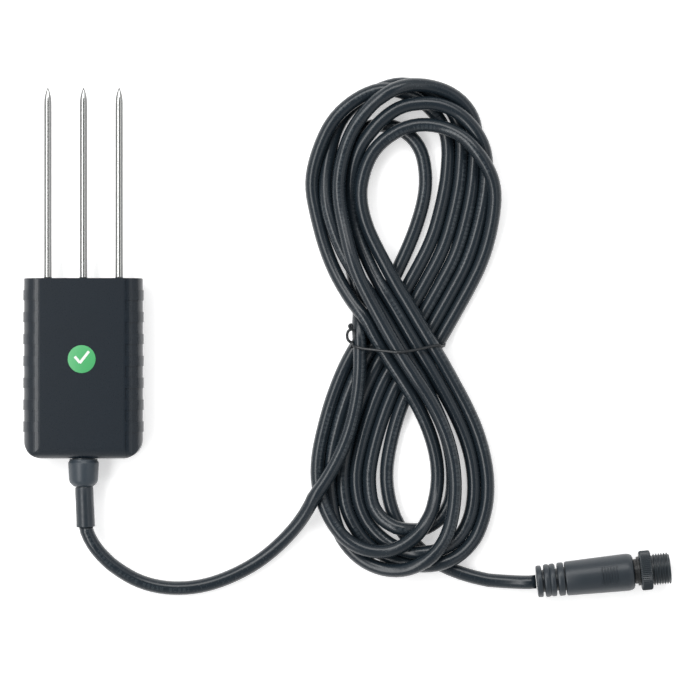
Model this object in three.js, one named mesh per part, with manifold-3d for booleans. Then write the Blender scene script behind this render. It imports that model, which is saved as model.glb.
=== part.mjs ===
// Soil probe: three steel pins in a potted plastic housing, with a coiled signal
// cable and a round threaded connector. Millimetres, +Z up.
//
// The probe lies flat. Its pins point along +Y and its label faces +Z. The origin
// is under the middle of the rigid head: pins, housing, boot and sleeve. The cable
// and its connector lie on the same surface, z = 0, on the +X side of the head.

import * as THREE from 'three';
import { mergeVertices } from 'three/addons/utils/BufferGeometryUtils.js';
import Module from 'manifold-3d';

// ---- Fits -------------------------------------------------------------------

const GAP = 0.3; // between separate pieces that would touch
const SOLDER_GAP = 0.3; // between a soldered piece and its board

// ---- Housing: a moulded cup, open at the pin end and filled with resin ------

const HOUSING_WIDTH = 45.2; // over the ribs
const HOUSING_LENGTH = 67.6;
const HOUSING_THICKNESS = 15;
const WALL = 1.8;
const END_WALL = 3;
const SIDE_FLAT = 1; // flat strip left between the two rounded edges of each side
const END_CORNER_RADIUS = 7.8; // in plan, at the cable end
const END_EDGE_RADIUS = 4.5; // from the flat panels into the cable end
const CAVITY_EDGE_RADIUS = 1; // inside, from the end wall to the panels
const RIB_COUNT = 7;
const RIB_PITCH = 8.22;
const RIB_WIDTH = 3.9;
const FIRST_RIB = 4.4; // from the pin end to the first rib
const GROOVE_DEPTH = 0.34;
const GROOVE_FADE = 0.6; // from the panel's edge to where a groove starts
const RESIN_RECESS = 0.3; // resin surface below the housing's rim

// ---- Pins -------------------------------------------------------------------

const PIN_DIAMETER = 2.8;
const PIN_EXPOSED = 72;
const PIN_BURIED = 14; // inside the resin, ending on the board
const PIN_EDGE_ROOM = 1.3; // from the outer pins' clips to the board's edges
const PIN_TIP_LENGTH = 6;
const PIN_TIP_STEPS = 5;
const THERMISTOR_BORE = 1.6; // diameter of the hollow middle pin's bore
const THERMISTOR_DEPTH = 10; // from the pin's tip to the end of its bore
const BEAD_LENGTH = 4;
const BEAD_LEAD_DIAMETER = 0.4;

// ---- Circuit board and what is soldered to it -------------------------------

const BOARD_THICKNESS = 1.6;
const BOARD_SETBACK = 5; // from the pin end to the board's edge
const BOARD_SIDE_ROOM = 2.46; // from the cavity's side to the board's
const BOARD_REAR_ROOM = 13.6; // from the board to the end wall, for the cable
const CLIP_LENGTH = 4;
const CLIP_WALL = 0.4;
const CLIP_FOOT = 1.2;

// Places are shares of the board: across, -1 to 1, and along, from the pin end.
// A size is across, along, tall.
const CHIPS = [
  { name: 'microcontroller', across: -0.5, along: 0.4, size: [7, 7, 1.4], leads: 8, color: 0x1c1c1e },
  { name: 'transceiver_chip', across: 0.53, along: 0.7, size: [4, 5, 1.6], leads: 4, color: 0x1c1c1e },
  { name: 'voltage_regulator', across: -0.53, along: 0.79, size: [3.6, 6.6, 1.8], leads: 3, color: 0x1c1c1e },
  { name: 'surge_diode_1', across: -0.2, along: 0.85, size: [2.6, 4.3, 2.2], leads: 1, color: 0x2a2a2c },
  { name: 'surge_diode_2', across: 0.2, along: 0.85, size: [2.6, 4.3, 2.2], leads: 1, color: 0x2a2a2c },
];
const CAPACITORS = [
  { name: 'filter_capacitor_1', across: 0, along: 0.49 },
  { name: 'filter_capacitor_2', across: 0, along: 0.67 },
];
const CAPACITOR_DIAMETER = 5;
const CAPACITOR_HEIGHT = 5.4;
const INDUCTOR = { across: 0.53, along: 0.48, width: 6, height: 3 };
const CRYSTAL = { across: -0.5, along: 0.595, width: 11, depth: 4.6, height: 3.5 };
const CHIP_LEAD = { reach: 0.9, width: 0.35, height: 0.5 };

// ---- Cable, boot and sleeve -------------------------------------------------

const CABLE_DIAMETER = 5.2;
const CABLE_SIDES = 12;
const CORE_DIAMETER = 1.1;
const CORE_SPACING = 1.7; // between the centres of the four cores in the cable
const CORE_PAD_SPACING = 3.4; // between their pads on the board
const CORE_COLORS = { red: 0xb02a24, black: 0x202124, yellow: 0xd9b021, white: 0xe8e8e4 };

const BOOT_LENGTH = 10.6;
const BOOT_NECK_RADIUS = 5.3; // at the housing
const BOOT_SHOULDER_RADIUS = 5.8;
const BOOT_WAIST_RADIUS = 5.45; // where its end starts to round in
const BOOT_SPIGOT_RADIUS = 4.2; // through the end wall
const BOOT_FLANGE_RADIUS = 5; // behind the end wall
const BOOT_FLANGE_LENGTH = 2;
const SLEEVE_SETBACK = 0.6; // from the boot to the sleeve
const SLEEVE_LENGTH = 14.6;
const SLEEVE_WALL = 0.6;
const INLET_STRIP = 3.5; // cable jacket that stands inside, past the boot's flange

const LABEL_DIAMETER = 10.4;
const LABEL_THICKNESS = 0.2;
const LABEL_FROM_PIN_END = 30.3;

// The lead lies in a shallow bow from the sleeve to the hank: x, y and the height of
// the cable's underside.
const LEAD_ROUTE = [
  [0.6, -85.6, 4.8], [2, -88.9, 4.6], [4.3, -91.8, 4.1], [9, -96.3, 2.9], [14.7, -100.6, 1.7],
  [21.7, -104.2, 0.6], [28.6, -106, 0.1], [35.1, -106.4, 0], [41.9, -106, 0],
  [49, -104.3, 0], [57.1, -101, 0], [66.4, -95.8, 0.3], [74.9, -88.4, 1.3], [81.4, -80.7, 3.4],
  [85.2, -75.2, 5],
];
const LEAD_STEPS = 30;

// The tail runs from under the hank to the connector.
const TAIL_ROUTE = [
  [140.2, -100.6, 0.1], [144.6, -101.9, 0.05], [150, -102.8, 0.15], [156.6, -103.4, 0.7],
  [163.6, -103.7, 2.1],
];
const TAIL_STEPS = 12;

// ---- Hank: the rest of the cable, laid in a figure of eight and tied at its waist 

const HANK_HEIGHT = 12;
const HANK_OUTLINE = [
  [125, 86], [108.4, 83.8], [94.5, 73.4], [86.6, 59], [84, 42], [86.3, 25.2], [92.6, 6.4],
  [98, -2.4], [101.3, -9], [100.8, -15], [97, -22.4], [92.8, -31], [88.1, -44.4], [86.3, -59.4],
  [88.5, -75.6], [96.4, -91.4], [106.9, -100], [117.1, -102.3], [132, -100.4], [144.2, -92],
  [152.8, -78.2], [155.6, -65], [152.8, -48], [145.3, -32.4], [134.4, -14.3], [142.3, 0.7],
  [149.8, 17.7], [155, 34.6], [156.6, 48.5], [153.9, 64.7], [146, 76.7], [136.3, 83.8],
];
const UPPER_HOLE = [
  [108.4, 55.3], [105.8, 44], [107.7, 29.7], [116, 16.9], [122.4, 29.7], [125.7, 44],
  [125.4, 59], [120.1, 64.7], [113.3, 62],
];
const LOWER_HOLE = [
  [122, -38.7], [118.2, -50], [116.3, -65.1], [116, -78.2], [120.8, -84.6], [127.2, -82],
  [130.6, -72.6], [130.6, -61.3], [127.2, -50],
];
const OUTLINE_DIVISIONS = 64;
const HOLE_DIVISIONS = 18;

// A wire tie is wrapped round the waist, with a small eye on its left side.
const TIE_DIAMETER = 1.2;
const TIE_CHANNEL = { left: 103.4, right: 132.8, front: -20, back: -7.2, depth: 1.9 };
const TIE_SIDES = 8;
const TIE_STEPS = 44;

// ---- Connector: a moulded grip, a contact insert and a screw that turns -----

const CONNECTOR_HEADING = THREE.MathUtils.degToRad(6.1); // from +X towards +Y
const CONNECTOR_ENTRY = [170.5, -103.4]; // where the cable meets it, in plan
const GRIP_LENGTH = 36.6;
const GRIP_REAR_RADIUS = 6.45;
const GRIP_FRONT_RADIUS = 7.05;
const GRIP_START = 10.9; // behind it are the flexible rings
const GRIP_EDGE_RADIUS = 1.6;
const RINGS = [
  { from: 0, to: 2.1, radius: 6 },
  { from: 2.9, to: 7.2, radius: 6.2 },
  { from: 8, to: 10.5, radius: 6.3 },
];
const RING_CORE_RADIUS = 4.2;
const CARRIER_SETBACK = 0.8; // of its radius inside the grip, from the neck's
const CARRIER_START = 24;
const NECK_STEP = 0.1; // of the neck's radius above the shroud's
const NECK_FLANGE = { from: 38, to: 38.7, lip: 0.8 };
const SHROUD_WALL = 0.45;
const SOCKET_FLOOR = 42.5;
const CONNECTOR_LENGTH = 50.3;
const SHROUD_SETBACK = 0.4; // from the screw's front face
const CONTACT_DIAMETER = 1;
const CONTACT_CIRCLE_RADIUS = 2.5;
const CONTACT_SETBACK = 1.2; // from the shroud's rim to a contact's tip
const CONTACT_STEP = 1.8; // from the insert's rear to a contact's rear
const CABLE_END_LENGTH = 18; // jacketed cable inside the grip

const THREAD_RADIUS = 5.9; // over its crests
const THREAD = { from: 44.1, depth: 0.6, pitch: 1, turns: 6 };
const SCREW_WALL = 0.4; // under the thread
const KNURL = { from: 39, to: 43.3, lip: 1.55, chamfer: 0.7 };
const CONNECTOR_REST = 0.05; // height of the screw above the surface

// ---- Places worked out from the sizes ---------------------------------------

const edgeRadius = (HOUSING_THICKNESS - SIDE_FLAT) / 2;
const pinRadius = PIN_DIAMETER / 2;
const cableRadius = CABLE_DIAMETER / 2;
const coreRadius = CORE_DIAMETER / 2;
const headLength = PIN_EXPOSED + HOUSING_LENGTH + BOOT_LENGTH + SLEEVE_SETBACK + SLEEVE_LENGTH;
const tipY = headLength / 2;
const pinEndY = tipY - PIN_EXPOSED;
const cableEndY = pinEndY - HOUSING_LENGTH;
const bootEndY = cableEndY - BOOT_LENGTH;
const sleeveStartY = bootEndY - SLEEVE_SETBACK;
const sleeveEndY = sleeveStartY - SLEEVE_LENGTH;
const midZ = HOUSING_THICKNESS / 2;
const cavityEndY = cableEndY + END_WALL;
const flangeEndY = cavityEndY + GAP + BOOT_FLANGE_LENGTH;
const inletY = flangeEndY + INLET_STRIP;
const boardTopZ = midZ - pinRadius - GAP;
const boardBottomZ = boardTopZ - BOARD_THICKNESS;
const boardFrontY = pinEndY - BOARD_SETBACK;
const boardRearY = cavityEndY + BOARD_REAR_ROOM;
const cavityWidth = HOUSING_WIDTH - 2 * (GROOVE_DEPTH + WALL);
const boardHalf = cavityWidth / 2 - BOARD_SIDE_ROOM;
const pinRearY = pinEndY - PIN_BURIED;
const clipHalf = pinRadius + GAP + CLIP_WALL + CLIP_FOOT;
const pinPitch = boardHalf - clipHalf - PIN_EDGE_ROOM;
const pinXs = { left: -pinPitch, middle: 0, right: pinPitch };
const cableBore = cableRadius + GAP;

const threadRoot = THREAD_RADIUS - THREAD.depth;
const screwBore = threadRoot - SCREW_WALL;
const shroudRadius = screwBore - GAP;
const socketRadius = shroudRadius - SHROUD_WALL;
const neckRadius = shroudRadius + NECK_STEP;
const carrierRadius = neckRadius - CARRIER_SETBACK;
const knurlRadius = THREAD_RADIUS + KNURL.lip;
const connectorPitch = Math.atan2(
  knurlRadius + CONNECTOR_REST - GRIP_REAR_RADIUS,
  (KNURL.from + KNURL.to) / 2 - GRIP_START,
);
const entryZ = GRIP_REAR_RADIUS / Math.cos(connectorPitch) - GRIP_START * Math.sin(connectorPitch);
const connectorAxis = new THREE.Vector3(
  Math.cos(connectorPitch) * Math.cos(CONNECTOR_HEADING),
  Math.cos(connectorPitch) * Math.sin(CONNECTOR_HEADING),
  Math.sin(connectorPitch),
);
const connectorEntry = new THREE.Vector3(...CONNECTOR_ENTRY, entryZ);
const shroudEnd = CONNECTOR_LENGTH - SHROUD_SETBACK;

// ---- Solids -----------------------------------------------------------------

const wasm = await Module();
wasm.setup();

function solid(geometry) {
  const bare = geometry.index ? geometry.toNonIndexed() : geometry.clone();
  bare.deleteAttribute('normal');
  bare.deleteAttribute('uv');
  const merged = mergeVertices(bare, 1e-4);
  return new wasm.Manifold(new wasm.Mesh({
    numProp: 3,
    vertProperties: new Float32Array(merged.attributes.position.array),
    triVerts: new Uint32Array(merged.index.array),
  }));
}

function surface(manifold) {
  const mesh = manifold.getMesh();
  const geometry = new THREE.BufferGeometry();
  geometry.setAttribute('position', new THREE.BufferAttribute(mesh.vertProperties, 3));
  geometry.setIndex(new THREE.BufferAttribute(mesh.triVerts, 1));
  return geometry;
}

function join(first, ...rest) {
  return rest.reduce((sum, piece) => sum.add(piece), first);
}

function block([x0, y0, z0], [x1, y1, z1]) {
  const geometry = new THREE.BoxGeometry(x1 - x0, y1 - y0, z1 - z0);
  geometry.translate((x0 + x1) / 2, (y0 + y1) / 2, (z0 + z1) / 2);
  return solid(geometry);
}

// A solid of revolution about a line parallel to Y; points are [radius, y].
function turned(points, segments = 24, x = 0, z = 0) {
  const geometry = new THREE.LatheGeometry(points.map(([r, y]) => new THREE.Vector2(r, y)), segments);
  geometry.translate(x, 0, z);
  return solid(geometry);
}

function rod(radius, y0, y1, x = 0, z = 0, segments = 24) {
  return turned([[0, y0], [radius, y0], [radius, y1], [0, y1]], segments, x, z);
}

function roundedRectangle(width, height, radius) {
  const [w, h] = [width / 2, height / 2];
  const shape = new THREE.Shape();
  shape.moveTo(-w + radius, -h);
  shape.lineTo(w - radius, -h);
  shape.absarc(w - radius, -h + radius, radius, -Math.PI / 2, 0);
  shape.lineTo(w, h - radius);
  shape.absarc(w - radius, h - radius, radius, 0, Math.PI / 2);
  shape.lineTo(-w + radius, h);
  shape.absarc(-w + radius, h - radius, radius, Math.PI / 2, Math.PI);
  shape.lineTo(-w, -h + radius);
  shape.absarc(-w + radius, -h + radius, radius, Math.PI, Math.PI * 1.5);
  return shape;
}

// A rectangle from y0 to y1 whose two corners at y0 are rounded.
function endRoundedRectangle(width, y0, y1, radius) {
  const w = width / 2;
  const shape = new THREE.Shape();
  shape.moveTo(w, y1);
  shape.lineTo(-w, y1);
  shape.lineTo(-w, y0 + radius);
  shape.absarc(-w + radius, y0 + radius, radius, Math.PI, Math.PI * 1.5);
  shape.lineTo(w - radius, y0);
  shape.absarc(w - radius, y0 + radius, radius, -Math.PI / 2, 0);
  return shape;
}

function extruded(shape, depth, curveSegments = 4) {
  return new THREE.ExtrudeGeometry(shape, { depth, bevelEnabled: false, curveSegments });
}

// The housing's form: a rounded section along Y whose end at y0 is rounded in plan
// and in side view.
function pot({ width, thickness, y0, y1, edge, corner, end, steps = 4 }) {
  const section = extruded(roundedRectangle(width, thickness, edge), y1 - y0, steps);
  section.rotateX(Math.PI / 2);
  section.translate(0, y1, midZ);
  const plan = extruded(endRoundedRectangle(width, y0, y1, corner), thickness, steps);
  plan.translate(0, 0, midZ - thickness / 2);
  const side = extruded(endRoundedRectangle(thickness, y0, y1, end), width, steps);
  side.rotateY(Math.PI / 2);
  side.translate(-width / 2, 0, midZ);
  return solid(section).intersect(solid(plan)).intersect(solid(side));
}

function tube(points, radius, sides, steps) {
  const curve = new THREE.CatmullRomCurve3(points.map((point) => new THREE.Vector3(...point)));
  const section = new THREE.Shape();
  section.absarc(0, 0, radius, 0, Math.PI * 2);
  return new THREE.ExtrudeGeometry(section, {
    steps, extrudePath: curve, bevelEnabled: false, curveSegments: sides / 2,
  });
}

// ---- Scene graph ------------------------------------------------------------

const FINISH = {
  housingPlastic: { color: 0x272f36, roughness: 0.3, metalness: 0 },
  resin: { color: 0x15181b, roughness: 0.15, metalness: 0 },
  steel: { color: 0xa9afb5, roughness: 0.3, metalness: 1 },
  cableJacket: { color: 0x262d33, roughness: 0.4, metalness: 0 },
  rubber: { color: 0x2b3238, roughness: 0.55, metalness: 0 },
  grip: { color: 0x3a4148, roughness: 0.6, metalness: 0 },
  screw: { color: 0x33393f, roughness: 0.45, metalness: 0.2 },
  insert: { color: 0x1d2023, roughness: 0.6, metalness: 0 },
  board: { color: 0x1f6b3a, roughness: 0.5, metalness: 0 },
  tin: { color: 0xb9bcbf, roughness: 0.35, metalness: 1 },
  gold: { color: 0xd4a84a, roughness: 0.25, metalness: 1 },
  ferrite: { color: 0x4a4c50, roughness: 0.8, metalness: 0 },
  epoxyBead: { color: 0x1a1a1c, roughness: 0.4, metalness: 0 },
  greenLabel: { color: 0x46b36f, roughness: 0.5, metalness: 0 },
  wire: { color: 0x2a2f34, roughness: 0.5, metalness: 0 },
};

const probe = new THREE.Group();
const connector = new THREE.Group();
connector.position.copy(connectorEntry);
connector.quaternion.setFromUnitVectors(new THREE.Vector3(0, 1, 0), connectorAxis);
probe.add(connector);

function add(name, shape, finish, group = probe) {
  const geometry = shape instanceof THREE.BufferGeometry ? shape : surface(shape);
  const mesh = new THREE.Mesh(geometry, new THREE.MeshStandardMaterial(finish));
  mesh.name = name;
  group.add(mesh);
}

// ---- Housing ----------------------------------------------------------------

const cavity = {
  width: cavityWidth,
  thickness: HOUSING_THICKNESS - 2 * WALL,
  y0: cavityEndY,
  y1: pinEndY + 1,
  edge: edgeRadius - WALL,
  corner: END_CORNER_RADIUS - WALL,
  end: CAVITY_EDGE_RADIUS,
};

function housingShell() {
  const form = (inset) => pot({
    width: HOUSING_WIDTH - 2 * inset,
    thickness: HOUSING_THICKNESS - 2 * inset,
    y0: cableEndY,
    y1: pinEndY,
    edge: edgeRadius - inset,
    corner: END_CORNER_RADIUS - inset,
    end: END_EDGE_RADIUS - inset,
    steps: 8,
  });
  const panelHalf = HOUSING_WIDTH / 2 - edgeRadius + GROOVE_FADE;
  const reach = HOUSING_WIDTH;
  const raised = [block([-panelHalf, cableEndY - 1, -1], [panelHalf, pinEndY + 1, HOUSING_THICKNESS + 1])];
  for (let rib = 0; rib < RIB_COUNT; rib += 1) {
    const y = pinEndY - FIRST_RIB - rib * RIB_PITCH;
    raised.push(block([-reach, y - RIB_WIDTH, -1], [reach, y, HOUSING_THICKNESS + 1]));
  }
  return join(form(GROOVE_DEPTH), form(0).intersect(join(...raised)))
    .subtract(pot(cavity))
    .subtract(rod(BOOT_SPIGOT_RADIUS + GAP, cableEndY - 1, cavityEndY + 1, 0, midZ));
}

// ---- Pins, bead and clips ---------------------------------------------------

// The point is a tangent ogive: full radius at its root, sharp at its tip.
function pinProfile() {
  const points = [[pinRadius, pinRearY]];
  for (let step = 0; step < PIN_TIP_STEPS; step += 1) {
    const t = step / PIN_TIP_STEPS;
    points.push([pinRadius * (1 - t * t), tipY - PIN_TIP_LENGTH * (1 - t)]);
  }
  points.push([0, tipY]);
  return points;
}

function pin(x, hollow) {
  const boreEnd = tipY - THERMISTOR_DEPTH;
  const bore = THERMISTOR_BORE / 2;
  const inner = hollow ? [[0, boreEnd], [bore, boreEnd], [bore, pinRearY]] : [[0, pinRearY]];
  return turned([...inner, ...pinProfile()], 16, x, midZ);
}

// A glass bead on its two leads, which run back through the pin and down to the board.
function thermistorBead() {
  const beadRadius = THERMISTOR_BORE / 2 - GAP;
  const beadTop = tipY - THERMISTOR_DEPTH - GAP;
  const leadX = BEAD_LEAD_DIAMETER / 2 + 0.05;
  const bead = rod(beadRadius, beadTop - BEAD_LENGTH, beadTop, 0, midZ, 12);
  const leads = [-leadX, leadX].map((x) => join(
    rod(BEAD_LEAD_DIAMETER / 2, pinRearY - 2, beadTop - 1, x, midZ, 6),
    block(
      [x - BEAD_LEAD_DIAMETER / 2, pinRearY - 2.2, boardTopZ + SOLDER_GAP],
      [x + BEAD_LEAD_DIAMETER / 2, pinRearY - 1.7, midZ + BEAD_LEAD_DIAMETER / 4],
    ),
  ));
  return join(bead, ...leads);
}

// A hat-shaped strap that holds a pin down on its pad.
function pinClip(x) {
  const inner = pinRadius + GAP;
  const outer = inner + CLIP_WALL;
  const y1 = (boardFrontY + pinRearY) / 2 + CLIP_LENGTH / 2;
  const y0 = y1 - CLIP_LENGTH;
  const footZ = boardTopZ + SOLDER_GAP;
  return join(
    rod(outer, y0, y1, x, midZ, 20),
    block([x - outer, y0, footZ], [x + outer, y1, midZ]),
    block([x - outer - CLIP_FOOT, y0, footZ], [x + outer + CLIP_FOOT, y1, footZ + CLIP_WALL]),
  )
    .subtract(rod(inner, y0 - 1, y1 + 1, x, midZ, 20))
    .subtract(block([x - inner, y0 - 1, 0], [x + inner, y1 + 1, midZ]))
    .subtract(block([x - 2 * outer, y0 - 1, 0], [x + 2 * outer, y1 + 1, footZ]));
}

// ---- Electronics ------------------------------------------------------------

function circuitBoard() {
  return block(
    [-boardHalf, boardRearY, boardBottomZ],
    [boardHalf, boardFrontY, boardTopZ],
  );
}

// The place in plan of a part on the board.
function onBoard({ across, along }) {
  return [across * boardHalf, boardFrontY - along * (boardFrontY - boardRearY)];
}

function chip({ size: [width, length, height], leads, ...place }) {
  const [x, centreY] = onBoard(place);
  const baseZ = boardTopZ + SOLDER_GAP;
  const pieces = [block(
    [x - width / 2, centreY - length / 2, baseZ],
    [x + width / 2, centreY + length / 2, baseZ + height],
  )];
  for (let lead = 0; lead < leads; lead += 1) {
    const leadY = centreY + ((lead + 0.5) / leads - 0.5) * length;
    pieces.push(block(
      [x - width / 2 - CHIP_LEAD.reach, leadY - CHIP_LEAD.width / 2, baseZ],
      [x + width / 2 + CHIP_LEAD.reach, leadY + CHIP_LEAD.width / 2, baseZ + CHIP_LEAD.height],
    ));
  }
  return join(...pieces);
}

// A round part that stands on the board, turned about its own upright axis.
function standing(place, profile, segments) {
  const [x, y] = onBoard(place);
  const geometry = new THREE.LatheGeometry(profile.map(([r, h]) => new THREE.Vector2(r, h)), segments);
  geometry.rotateX(Math.PI / 2);
  geometry.translate(x, y, boardTopZ + SOLDER_GAP);
  return geometry;
}

function capacitor(place) {
  const r = CAPACITOR_DIAMETER / 2;
  const base = 0.8;
  const neck = r - 0.3;
  return standing(place, [
    [0, 0], [r, 0], [r, base], [neck, base + 0.4], [r, base + 0.8],
    [r, CAPACITOR_HEIGHT - 0.3], [r - 0.3, CAPACITOR_HEIGHT], [0, CAPACITOR_HEIGHT],
  ], 20);
}

function inductor({ width, height, ...place }) {
  const r = width / 2;
  return standing(place, [
    [0, 0], [r, 0], [r, 0.6], [r - 0.8, 0.9], [r - 0.8, height - 0.9],
    [r, height - 0.6], [r, height], [0, height],
  ], 8);
}

function crystal({ width, depth, height, ...place }) {
  const [x, y] = onBoard(place);
  const can = extruded(roundedRectangle(width, depth, depth / 2 - 0.01), height);
  can.translate(x, y, boardTopZ + SOLDER_GAP);
  return can;
}

// The cores lie in a square inside the cable and fan out to a row of pads.
function corePlaces() {
  return Object.keys(CORE_COLORS).map((name, i) => ({
    name,
    square: [(i % 2 ? 0.5 : -0.5) * CORE_SPACING, (i < 2 ? 0.5 : -0.5) * CORE_SPACING],
    padX: (i - (Object.keys(CORE_COLORS).length - 1) / 2) * CORE_PAD_SPACING,
  }));
}

function headCore({ square: [dx, dz], padX }) {
  const padZ = boardTopZ + SOLDER_GAP + coreRadius + 0.05;
  const reach = boardRearY - inletY;
  return tube([
    [dx, inletY + GAP, midZ + dz],
    [dx * 1.2, inletY + reach * 0.3, midZ + dz],
    [padX * 0.9, boardRearY - 0.6, (midZ + dz + padZ) / 2 + 0.6],
    [padX, boardRearY + 3, padZ],
  ], coreRadius, 8, 10);
}

// ---- Resin: fills the cup and leaves room for all that is cast into it ------

function pocket([x0, y0, z0], [x1, y1, z1]) {
  return block([x0 - GAP, y0 - GAP, z0 - GAP], [x1 + GAP, y1 + GAP, z1 + GAP]);
}

// The room for a part that stands on the board.
function room(place, width, length, height) {
  const [x, y] = onBoard(place);
  return pocket(
    [x - width / 2, y - length / 2, boardTopZ],
    [x + width / 2, y + length / 2, boardTopZ + SOLDER_GAP + height],
  );
}

function pottingResin() {
  const clipTopZ = midZ + pinRadius + GAP + CLIP_WALL;
  const pockets = [
    pocket([-boardHalf, boardRearY, boardBottomZ], [boardHalf, boardFrontY, boardTopZ]),
    ...CAPACITORS.map((place) => room(
      place, CAPACITOR_DIAMETER, CAPACITOR_DIAMETER, CAPACITOR_HEIGHT,
    )),
    ...CHIPS.map(({ size: [width, length, height], ...place }) => room(
      place, width + 2 * CHIP_LEAD.reach, length, height,
    )),
    room(INDUCTOR, INDUCTOR.width, INDUCTOR.width, INDUCTOR.height),
    room(CRYSTAL, CRYSTAL.width, CRYSTAL.depth, CRYSTAL.height),
    ...Object.values(pinXs).map((x) => join(
      rod(pinRadius + GAP, pinRearY - 3, pinEndY + 1, x, midZ, 16),
      pocket([x - clipHalf, pinRearY, boardTopZ], [x + clipHalf, boardFrontY, clipTopZ]),
    )),
    block(
      [-2 * CORE_PAD_SPACING, cavityEndY - 1, boardTopZ],
      [2 * CORE_PAD_SPACING, boardRearY + 4, midZ + cableRadius + GAP],
    ),
    rod(BOOT_FLANGE_RADIUS + GAP, cavityEndY - 1, flangeEndY + GAP, 0, midZ),
    rod(cableBore, cavityEndY - 1, inletY + GAP, 0, midZ),
  ];
  const filling = pot({
    width: cavity.width - 2 * GAP,
    thickness: cavity.thickness - 2 * GAP,
    y0: cavityEndY + GAP,
    y1: pinEndY - RESIN_RECESS,
    edge: cavity.edge - GAP,
    corner: cavity.corner - GAP,
    end: cavity.end - GAP,
  });
  return filling.subtract(join(...pockets));
}

// ---- Boot, sleeve and label -------------------------------------------------

function cableBoot() {
  const shoulder = bootEndY + BOOT_LENGTH * 0.83;
  return turned([
    [cableBore, bootEndY],
    [cableBore + 0.6, bootEndY],
    [BOOT_NECK_RADIUS - 1, bootEndY + 0.6],
    [BOOT_WAIST_RADIUS - 0.3, bootEndY + 1.5],
    [BOOT_WAIST_RADIUS, bootEndY + 2.6],
    [BOOT_SHOULDER_RADIUS, shoulder],
    [BOOT_SHOULDER_RADIUS - 0.15, shoulder + 0.5],
    [BOOT_NECK_RADIUS, shoulder + 0.9],
    [BOOT_NECK_RADIUS, cableEndY - GAP],
    [BOOT_SPIGOT_RADIUS, cableEndY - GAP],
    [BOOT_SPIGOT_RADIUS, cavityEndY + GAP],
    [BOOT_FLANGE_RADIUS, cavityEndY + GAP],
    [BOOT_FLANGE_RADIUS, flangeEndY],
    [cableBore, flangeEndY],
    [cableBore, bootEndY],
  ], 24, 0, midZ);
}

function heatShrinkSleeve() {
  const outer = cableBore + SLEEVE_WALL;
  return turned([
    [cableBore, sleeveEndY], [outer, sleeveEndY], [outer, sleeveStartY],
    [cableBore, sleeveStartY], [cableBore, sleeveEndY],
  ], 24, 0, midZ);
}

function qualityLabel() {
  const disc = new THREE.CylinderGeometry(LABEL_DIAMETER / 2, LABEL_DIAMETER / 2, LABEL_THICKNESS, 40);
  disc.rotateX(Math.PI / 2);
  disc.translate(0, pinEndY - LABEL_FROM_PIN_END, HOUSING_THICKNESS + LABEL_THICKNESS / 2);
  return disc;
}

// ---- Cable: lead, hank, tail and tie ----------------------------------------

const raisedBy = (lift) => ([x, y, z]) => [x, y, z + lift];
const leadPoints = [
  [0, sleeveEndY - GAP, midZ], [0, sleeveEndY - 1.2, midZ],
  ...LEAD_ROUTE.map(raisedBy(cableRadius)),
];
const tailEnd = connectorEntry.clone().addScaledVector(connectorAxis, -GAP);
const tailBend = connectorEntry.clone().addScaledVector(connectorAxis, -3);
const tailPoints = [...TAIL_ROUTE.map(raisedBy(cableRadius)), tailBend.toArray(), tailEnd.toArray()];

function closedSpline(points, divisions) {
  const curve = new THREE.CatmullRomCurve3(
    points.map(([x, y]) => new THREE.Vector3(x, y, 0)),
    true,
  );
  return curve.getPoints(divisions).slice(0, divisions).map(({ x, y }) => new THREE.Vector2(x, y));
}

// A straight clearance hole that a cable's end stands in, GAP away all round.
function cableSocket(end, before) {
  const from = new THREE.Vector3(...end);
  const away = new THREE.Vector3(...before).sub(from).normalize();
  const bottom = from.clone().addScaledVector(away, -GAP);
  const length = 14;
  const hole = new THREE.CylinderGeometry(cableBore + 0.2, cableBore + 0.2, length, 16);
  hole.translate(0, length / 2, 0);
  hole.applyQuaternion(new THREE.Quaternion().setFromUnitVectors(new THREE.Vector3(0, 1, 0), away));
  hole.translate(...bottom.toArray());
  return solid(hole);
}

function cableHank() {
  const outline = new THREE.Shape(closedSpline(HANK_OUTLINE, OUTLINE_DIVISIONS));
  outline.holes.push(new THREE.Path(closedSpline(UPPER_HOLE, HOLE_DIVISIONS)));
  outline.holes.push(new THREE.Path(closedSpline(LOWER_HOLE, HOLE_DIVISIONS)));
  const { left, right, front, back, depth } = TIE_CHANNEL;
  const far = 20;
  return solid(extruded(outline, HANK_HEIGHT))
    .subtract(block([left - far, front, -1], [right + far, back, depth]))
    .subtract(block([left - far, front, HANK_HEIGHT - depth], [right + far, back, HANK_HEIGHT + 1]))
    .subtract(block([left - far, front, -1], [left, back, HANK_HEIGHT + 1]))
    .subtract(block([right, front, -1], [right + far, back, HANK_HEIGHT + 1]))
    .subtract(cableSocket(leadPoints.at(-1), leadPoints.at(-2)))
    .subtract(cableSocket(tailPoints[0], tailPoints[1]));
}

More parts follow.
